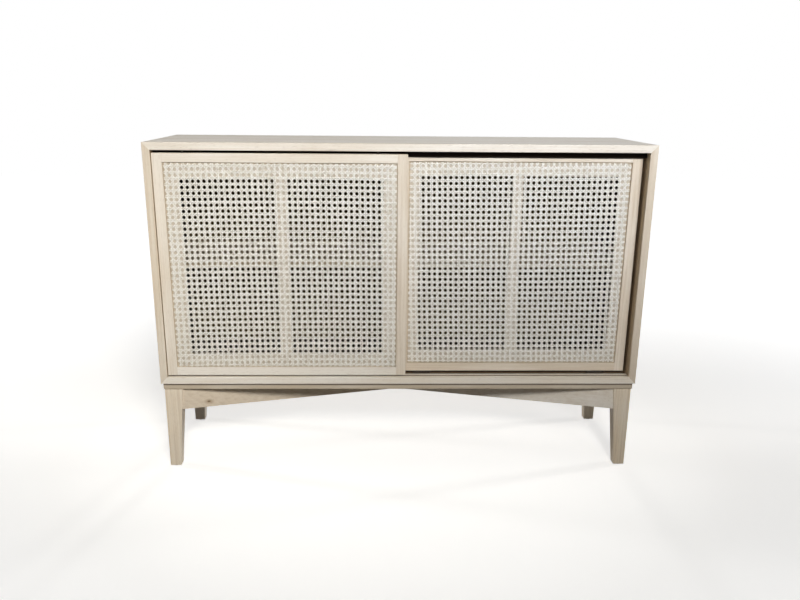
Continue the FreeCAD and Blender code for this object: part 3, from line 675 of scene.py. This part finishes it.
def strand_mesh(name, strands):
    """One mesh of many strands, each given by centre points, half-width vectors, lengths and tone."""
    ring = len(PROFILE)
    corners, faces, notes, strips = [], [], [], []
    first = 0
    for number, (centres, sides, lengths, tone) in enumerate(strands):
        count = len(centres)
        block = np.empty((count, ring, 3))
        note = np.empty((count, ring, 3))
        for corner, (across, up) in enumerate(PROFILE):
            block[:, corner] = centres + sides * across
            block[:, corner, 1] -= up * STRAND_HEIGHT
            note[:, corner, 0] = lengths
            note[:, corner, 1] = across * STRAND_WIDTH / 2
            note[:, corner, 2] = tone
        corners.append(block.reshape(-1, 3))
        notes.append(note.reshape(-1, 3))
        for step in range(count - 1):
            for corner in range(ring):
                at, beside = first + step * ring + corner, first + step * ring + (corner + 1) % ring
                faces.append((at, at + ring, beside + ring, beside))
                near, far = step / (count - 1), (step + 1) / (count - 1)
                low = (number + corner / ring) / len(strands)
                high = (number + (corner + 1) / ring) / len(strands)
                strips += [(near, low), (far, low), (far, high), (near, high)]
        faces.append(tuple(range(first, first + ring)))
        faces.append(tuple(range(first + count * ring - 1, first + (count - 1) * ring - 1, -1)))
        middle = (number + 0.5) / len(strands)
        strips += [(0.0, middle)] * ring + [(1.0, middle)] * ring
        first += count * ring
    mesh = bpy.data.meshes.new(name)
    mesh.from_pydata(np.concatenate(corners).tolist(), [], faces)
    mesh.polygons.foreach_set("use_smooth", [True] * len(mesh.polygons))
    kept = mesh.attributes.new("strand", "FLOAT_VECTOR", "POINT")
    kept.data.foreach_set("vector", np.concatenate(notes).astype(np.float32).ravel())
    mesh.uv_layers.new(name="OFBake").data.foreach_set("uv", np.array(strips, np.float32).ravel())
    mesh.update()
    return mesh


def weave(side, start, across, down, bow_x, bow_z, seed):
    """Strands of one door's cane in three groups, laid over the grid of its holes and cut at the sheet's edge.

    In millimetres, start is the first hole from the upper left corner of the sheet, across and down are the
    steps to the next column and row, and bow_x and bow_z are the bends of the grid.
    """
    low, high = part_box(side + "_cane")
    draw = np.random.default_rng(seed)

    def place(column, row):
        """Points of the sheet at columns and rows of holes; it is stretched by hand, so the grid bows."""
        bends = (column * row, column * column, row * row)
        right = start[0] + across[0] * column + down[0] * row + sum(k * b for k, b in zip(bow_x, bends))
        drop = start[1] + across[1] * column + down[1] * row + sum(k * b for k, b in zip(bow_z, bends))
        level = np.full(len(column), (low.y + high.y) / 2)
        return np.stack([low.x + right * MM, level, high.z - drop * MM], 1)

    def strand(path, reach, knots, lifts, width, margin):
        """One strand along a path, rising and sinking at its knots, or None if it misses the sheet."""
        fine = np.arange(-float(OVERHANG), reach, FINE_STEP)
        points = place(*path(fine))
        inside = (points[:, 0] > low.x + margin[0]) & (points[:, 0] < high.x - margin[0])
        inside &= (points[:, 2] > low.z + margin[1]) & (points[:, 2] < high.z - margin[1])
        if inside.sum() * FINE_STEP < SHORTEST:
            return None
        first, last = fine[inside][0], fine[inside][-1]
        cells = np.arange(-OVERHANG - 1, math.ceil(reach) + 1)
        spots = (cells[:, None] + np.array(knots)[None, :]).ravel()
        heights = np.tile(lifts, len(spots) // len(knots))
        kept = spots[(spots > first + END_CLEAR) & (spots < last - END_CLEAR)]
        along = np.concatenate([[first], kept, [last]])
        centres = place(*path(along))
        run = np.gradient(centres, axis=0)
        run /= np.linalg.norm(run, axis=1)[:, None]
        sideways = np.stack([-run[:, 2], np.zeros(len(run)), run[:, 0]], 1)
        centres += sideways * np.clip(draw.normal(0, STRAND_WOBBLE), -2 * STRAND_WOBBLE, 2 * STRAND_WOBBLE)
        centres[:, 1] -= np.interp(along, spots, heights)
        steps = np.linalg.norm(np.diff(centres, axis=0), axis=1)
        lengths = np.concatenate([[0], np.cumsum(steps)]) + draw.uniform(0, CUT_LENGTH)
        return centres, sideways * width * draw.uniform(*WIDTH_SPREAD) / 2, lengths, draw.uniform(0, 1)

    columns = math.ceil((high.x - low.x) / MM / across[0]) + OVERHANG
    rows = math.ceil((high.z - low.z) / MM / down[1]) + OVERHANG
    edge = STRAND_WIDTH / 2 + 3 * STRAND_WOBBLE
    slant_edge = SLANT_WIDTH * SLANT_EDGE + 3 * STRAND_WOBBLE
    groups = {"uprights": [], "levels": [], "slants": []}
    for number in range(-OVERHANG, columns):
        for sign in (-1, 1):
            column = number + 0.5 + sign * PAIR_SPACING / MM / across[0] / 2
            lifts = np.array([0, 1, -1, 0]) * sign * PAIR_RISE
            path = lambda t, column=column: (np.full(len(t), column), t)
            groups["uprights"].append(strand(path, rows, PAIR_KNOTS, lifts, STRAND_WIDTH, (edge, -END_REACH)))
    for number in range(-OVERHANG, rows):
        for sign in (-1, 1):
            row = number + 0.5 + sign * PAIR_SPACING / MM / down[1] / 2
            lifts = np.array([0, -1, 1, 0]) * sign * PAIR_RISE
            path = lambda t, row=row: (t, np.full(len(t), row))
            groups["levels"].append(strand(path, columns, PAIR_KNOTS, lifts, STRAND_WIDTH, (-END_REACH, edge)))
    for slope in (-1, 1):
        for number in range(-rows - SLANT_OVERHANG, columns + rows + SLANT_OVERHANG):
            lifts = np.array([1, -1, -1, 1]) * -slope * SLANT_RISE
            path = lambda t, turn=slope, number=number: (t, turn * (t - number - 0.5))
            margin = (slant_edge, slant_edge)
            groups["slants"].append(strand(path, columns, SLANT_KNOTS, lifts, SLANT_WIDTH, margin))
    return {name: [one for one in group if one is not None] for name, group in groups.items()}


def rattan_skin():
    """Split rattan skin: hard, pale and silky, with fine fibres, dull blotches and now and then a node."""
    material, tree = new_surface("split_rattan_skin")
    strand = add(tree, "Attribute", out="Vector", attribute_name="strand")
    parts = add(tree, "SeparateXYZ", {0: strand}).node.outputs
    apart = add(tree, "Math", {0: parts[2], 1: PATTERN_STEP}, operation="MULTIPLY")
    placed = add(tree, "CombineXYZ", {0: parts[0], 1: parts[1], 2: apart})
    fibre = stretched_noise(tree, placed, FIBRE_LENGTH, FIBRE_WIDTH, 2.0)
    cycle = add(tree, "Math", {0: parts[0], 1: CANE_NODE_SPACING / 2}, operation="PINGPONG")
    node = add(tree, "MapRange", {0: cycle, 1: 0.0, 2: CANE_NODE_LENGTH, 3: 0.55, 4: 0.0})
    fibre_dull = add(tree, "MapRange", {0: fibre, 1: 0.45, 2: 0.75, 3: 0.0, 4: 0.35})
    dull = add(tree, "MapRange", {0: parts[2], 3: 0.02, 4: 0.42})
    dull = add(tree, "Math", {0: dull, 1: fibre_dull}, operation="ADD")
    blotch = stretched_noise(tree, placed, BLOTCH_LENGTH, BLOTCH_WIDTH, 1.0)
    blotch = add(tree, "MapRange", {0: blotch, 1: 0.38, 2: 0.62, 3: -0.45, 4: 0.5})
    dull = add(tree, "Math", {0: dull, 1: blotch}, operation="ADD", use_clamp=True)
    colour = add(tree, "Mix", {0: dull, 6: linear(CANE_PALE), 7: linear(CANE_DULL)}, out=2, data_type="RGBA")
    colour = add(tree, "Mix", {0: node, 6: colour, 7: linear(CANE_NODE)}, out=2, data_type="RGBA")
    dullness = {0: fibre, 1: NOISE_LOW, 2: NOISE_HIGH, 3: CANE_ROUGHNESS[0], 4: CANE_ROUGHNESS[1]}
    rough = add(tree, "MapRange", dullness)
    bump = add(tree, "Bump", {"Strength": 0.3, "Distance": FIBRE_DEPTH, "Height": fibre})
    shader = add(tree, "BsdfPrincipled", {"Base Color": colour, "Roughness": rough, "Normal": bump})
    add(tree, "OutputMaterial", {"Surface": shader})
    return material


rattan = rattan_skin()
for side, seed, start, across, down, bow_x, bow_z in (
    ("left_door", 7, (39.1, 41.3), (13.198, -0.199), (0.111, 13.915),
     (0.0015, 0.0006, -0.0017), (-0.0034, 0.0053, -0.0003)),
    ("right_door", 8, (31.1, 35.7), (13.229, -0.087), (0.313, 13.607),
     (-0.0015, 0.0011, 0.0027), (0.0038, -0.0027, 0.0009)),
):
    for group, strands in weave(side, start, across, down, bow_x, bow_z, seed).items():
        name = side + "_cane_" + group
        piece = bpy.data.objects.new(name, strand_mesh(name, strands))
        bpy.context.scene.collection.objects.link(piece)
        piece.data.materials.append(rattan)
        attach(piece, side)
        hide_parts(side + "_cane")

# Runners: moulded nylon glides let into the bottom rail of each door, and nylon guide pins in its top rail.
# They are a brownish black, rubbed paler by the grooves they run in.
NYLON_DARK = "2a231c"
NYLON_RUBBED = "463d33"
NYLON_ROUGHNESS = 0.45
nylon = moulded_plastic("moulded_black_nylon", NYLON_DARK, NYLON_RUBBED, NYLON_ROUGHNESS)
for runner in ("left_door_glides", "left_door_guides", "right_door_glides", "right_door_guides"):
    dress(runner, nylon)

# Stage: a plain pale floor that keeps the shadow and is clear from below, white all round, and soft lamps.
# Of the lamps in front one lights the whole and three are aimed at the top right and at the left, so the lower
# right lies darker. A weak one hangs overhead, and three low ones light the sides and the back.
FLOOR_SIZE = 16.0
FLOOR_PALE = "e8e6e2"
FLOOR_BOUNCE = "8a847a"
FLOOR_GLOW = (0.60, 1.0)
FLOOR_FADE = (0.9, 2.0)
AMBIENT = 0.03
# Each lamp: place and aim in metres, beam in degrees, radius in metres, watts, colour.
LAMPS = {
    "wide_lamp": ((0.3, -4.1, 2.50), (0.0, 0.0, 0.62), 42, 0.35, 330, "fffdf7"),
    "high_lamp": ((0.3, -4.1, 2.50), (0.45, 0.0, 1.12), 25, 0.35, 290, "f3f8ff"),
    "side_lamp": ((2.1, -3.7, 2.50), (0.55, 0.0, 1.12), 21, 0.60, 600, "f3f8ff"),
    "left_lamp": ((0.6, -3.6, 2.25), (-0.75, 0.0, 0.50), 23, 0.45, 445, "fffdf7"),
    "top_lamp": ((-0.2, -0.3, 3.0), (-0.2, -0.05, 0.8), 70, 0.50, 16, "ffffff"),
    "left_fill": ((-3.2, 0.75, 0.65), (-0.6, 0.0, 0.50), 32, 0.15, 210, "ffffff"),
    "right_fill": ((3.2, 0.75, 0.65), (0.6, 0.0, 0.50), 32, 0.15, 210, "ffffff"),
    "back_fill": ((0.4, 3.6, 0.65), (0.0, 0.19, 0.50), 36, 0.15, 230, "ffffff"),
}


def seen_share(tree):
    """1 where the camera sees a surface straight, in a mirror or through glass, 0 for the light it throws."""
    path = add(tree, "LightPath").node.outputs
    seen = add(tree, "Math", {0: path["Is Camera Ray"], 1: path["Is Glossy Ray"]}, operation="MAXIMUM")
    return add(tree, "Math", {0: seen, 1: path["Is Transmission Ray"]}, operation="MAXIMUM")


def floor_surface():
    """Matt floor: white where the camera sees it, mid grey for the light it throws back, clear from below."""
    material, tree = new_surface("pale_studio_floor")
    seen = seen_share(tree)
    tints = {0: seen, 6: linear(FLOOR_BOUNCE), 7: linear(FLOOR_PALE)}
    colour = add(tree, "Mix", tints, out=2, data_type="RGBA")
    place = add(tree, "TexCoord", out="Object")
    away = add(tree, "VectorMath", {0: place}, out="Value", operation="LENGTH")
    fade = {0: away, 1: FLOOR_FADE[0], 2: FLOOR_FADE[1], 3: FLOOR_GLOW[0], 4: FLOOR_GLOW[1]}
    glow = add(tree, "MapRange", fade)
    glow = add(tree, "Math", {0: seen, 1: glow}, operation="MULTIPLY")
    shader = add(tree, "BsdfPrincipled", {
        "Base Color": colour, "Roughness": 0.9, "Specular IOR Level": 0.0,
        "Emission Color": (1, 1, 1, 1), "Emission Strength": glow,
    })
    below = add(tree, "NewGeometry", out="Backfacing")
    shader = add(tree, "MixShader", {0: below, 1: shader, 2: add(tree, "BsdfTransparent")})
    add(tree, "OutputMaterial", {"Surface": shader})
    return material


half = FLOOR_SIZE / 2
floor_mesh = bpy.data.meshes.new("studio_floor")
floor_corners = [(-half, -half, 0), (half, -half, 0), (half, half, 0), (-half, half, 0)]
floor_mesh.from_pydata(floor_corners, [], [(0, 1, 2, 3)])
floor = bpy.data.objects.new("studio_floor", floor_mesh)
floor_mesh.materials.append(floor_surface())
bpy.context.scene.collection.objects.link(floor)

world = bpy.data.worlds.new("white_studio")
world.use_nodes = True
world.node_tree.nodes.clear()
level = add(world.node_tree, "MapRange", {0: seen_share(world.node_tree), 3: AMBIENT, 4: 1.0})
sky = add(world.node_tree, "Background", {"Color": (1, 1, 1, 1), "Strength": level})
add(world.node_tree, "OutputWorld", {"Surface": sky})
bpy.context.scene.world = world

for name, (place, target, beam, size, power, colour) in LAMPS.items():
    lamp = bpy.data.objects.new(name, bpy.data.lights.new(name, "SPOT"))
    lamp.data.energy = power
    lamp.data.color = linear(colour)[:3]
    lamp.data.shadow_soft_size = size
    lamp.data.spot_size = math.radians(beam)
    lamp.data.spot_blend = 1.0
    lamp.location = place
    lamp.rotation_euler = (Vector(target) - Vector(place)).to_track_quat("-Z", "Y").to_euler()
    bpy.context.scene.collection.objects.link(lamp)

# Camera: where the photographer stood, a little left of the middle and above, looking slightly down.
# The picture is a crop of a larger frame, so the lens is shifted instead of turned.
CAMERA_PLACE = (-69.4 * MM, -2249.2 * MM, 920.7 * MM)
CAMERA_PAN = -0.0269
CAMERA_TILT = 0.3244
CAMERA_ROLL = -0.0081
PICTURE = (800, 600)
FOCAL_PIXELS = 859.8
OPTICAL_CENTRE = (394.1, 384.0)

camera = bpy.data.objects.new("camera", bpy.data.cameras.new("camera"))
bpy.context.scene.collection.objects.link(camera)
camera.data.lens = FOCAL_PIXELS * camera.data.sensor_width / PICTURE[0]
camera.data.shift_x = (PICTURE[0] / 2 - OPTICAL_CENTRE[0]) / PICTURE[0]
camera.data.shift_y = (OPTICAL_CENTRE[1] - PICTURE[1] / 2) / PICTURE[0]
camera.data.clip_end = 60
turned = Matrix.Rotation(CAMERA_PAN, 4, "Z") @ Matrix.Rotation(math.pi / 2 - CAMERA_TILT, 4, "X")
turned = turned @ Matrix.Rotation(-CAMERA_ROLL, 4, "Z")
camera.matrix_world = Matrix.Translation(CAMERA_PLACE) @ turned
bpy.context.scene.camera = camera
bpy.context.scene.view_settings.view_transform = "Standard"
